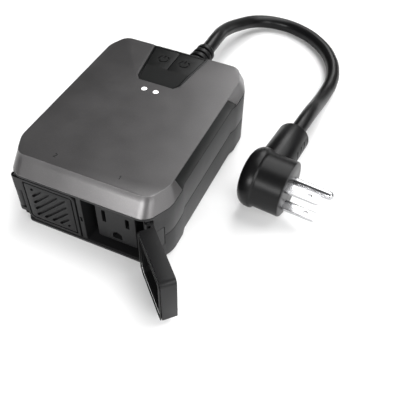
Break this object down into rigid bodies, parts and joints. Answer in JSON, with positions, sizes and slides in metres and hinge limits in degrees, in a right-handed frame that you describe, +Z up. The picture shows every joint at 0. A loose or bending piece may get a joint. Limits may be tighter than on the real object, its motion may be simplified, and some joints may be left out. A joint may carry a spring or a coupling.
{
  "type": "outdoor smart plug",
  "caption": "Low rectangular outdoor smart plug with a sloping metallic band, covered outlet bays in front, push buttons on top and a short cord with a right-angle plug.",
  "frame": {"origin": "centre of the housing's flat underside", "axes": "+X to the right seen from the front, +Y from the front with the outlets to the rear with the cord, +Z up"},
  "size_m": [0.1491, 0.2559, 0.043],
  "materials": {
    "shell_plastic": "fine textured dark grey moulding",
    "cover_plastic": "satin black moulding",
    "gunmetal_paint": "satin metallic gunmetal paint on plastic",
    "trim_plastic": "satin near-black moulding",
    "outlet_plastic": "satin black moulding",
    "seal_rubber": "soft black rubber",
    "cord_vinyl": "glossy black vinyl",
    "nickel_plate": "bright nickel plating",
    "contact_brass": "stamped spring brass",
    "screw_steel": "zinc plated steel",
    "light_pipe": "clear white light pipe",
    "board_laminate": "green board laminate",
    "component_case": "moulded component case",
    "relay_case": "blue relay case",
    "hot_wire_jacket": "black wire jacket",
    "neutral_wire_jacket": "white wire jacket",
    "ground_wire_jacket": "green wire jacket"
  },
  "bodies": {
    "housing": {"lower_shell": "shell_plastic", "upper_shell": "shell_plastic", "left_hinge_keeper": "shell_plastic", "right_hinge_keeper": "shell_plastic", "top_cover": "gunmetal_paint", "left_side_trim": "trim_plastic", "right_side_trim": "trim_plastic", "button_frame": "trim_plastic", "front_frame": "cover_plastic", "left_outlet": "outlet_plastic", "right_outlet": "outlet_plastic", "left_housing_seal": "seal_rubber", "right_housing_seal": "seal_rubber", "button_membrane": "seal_rubber", "strain_relief": "seal_rubber", "housing_screw_1": "screw_steel", "housing_screw_2": "screw_steel", "housing_screw_3": "screw_steel", "housing_screw_4": "screw_steel", "left_hinge_pin": "screw_steel", "right_hinge_pin": "screw_steel", "left_neutral_contact": "contact_brass", "left_hot_contact": "contact_brass", "left_ground_contact": "contact_brass", "right_neutral_contact": "contact_brass", "right_hot_contact": "contact_brass", "right_ground_contact": "contact_brass", "left_light_pipe": "light_pipe", "right_light_pipe": "light_pipe", "left_led": "light_pipe", "right_led": "light_pipe", "line_fuse": "light_pipe", "main_board": "board_laminate", "button_board": "board_laminate", "left_switch": "component_case", "right_switch": "component_case", "power_transformer": "component_case", "filter_capacitor": "component_case", "wireless_module": "component_case", "terminal_block": "component_case", "left_relay": "relay_case", "right_relay": "relay_case", "hot_wire": "hot_wire_jacket", "neutral_wire": "neutral_wire_jacket", "ground_wire": "ground_wire_jacket", "cord": "cord_vinyl", "plug_body": "cord_vinyl", "plug_neutral_blade": "nickel_plate", "plug_hot_blade": "nickel_plate", "plug_ground_pin": "nickel_plate"},
    "left_cover": {"left_cover": "cover_plastic", "left_cover_grille": "cover_plastic", "left_cover_gasket": "seal_rubber"},
    "right_cover": {"right_cover": "cover_plastic", "right_cover_grille": "cover_plastic", "right_cover_gasket": "seal_rubber"},
    "left_button": {"left_button": "trim_plastic"},
    "right_button": {"right_button": "trim_plastic"}
  },
  "joints": [
    {"name": "left_cover_hinge", "type": "hinge", "parent": "housing", "child": "left_cover", "pos_m": [-0.036, -0.0573, 0.0172], "axis": [0, 0, -1], "range_deg": [0, 135]},
    {"name": "right_cover_hinge", "type": "hinge", "parent": "housing", "child": "right_cover", "pos_m": [0.036, -0.0573, 0.0172], "axis": [0, 0, 1], "range_deg": [-135, 0]},
    {"name": "left_button_press", "type": "slide", "parent": "housing", "child": "left_button", "axis": [0, 0, -1], "range_m": [0, 0.0006], "stiffness_N_per_m": 900, "springref_m": -0.0006},
    {"name": "right_button_press", "type": "slide", "parent": "housing", "child": "right_button", "axis": [0, 0, -1], "range_m": [0, 0.0006], "stiffness_N_per_m": 900, "springref_m": -0.0006}
  ]
}
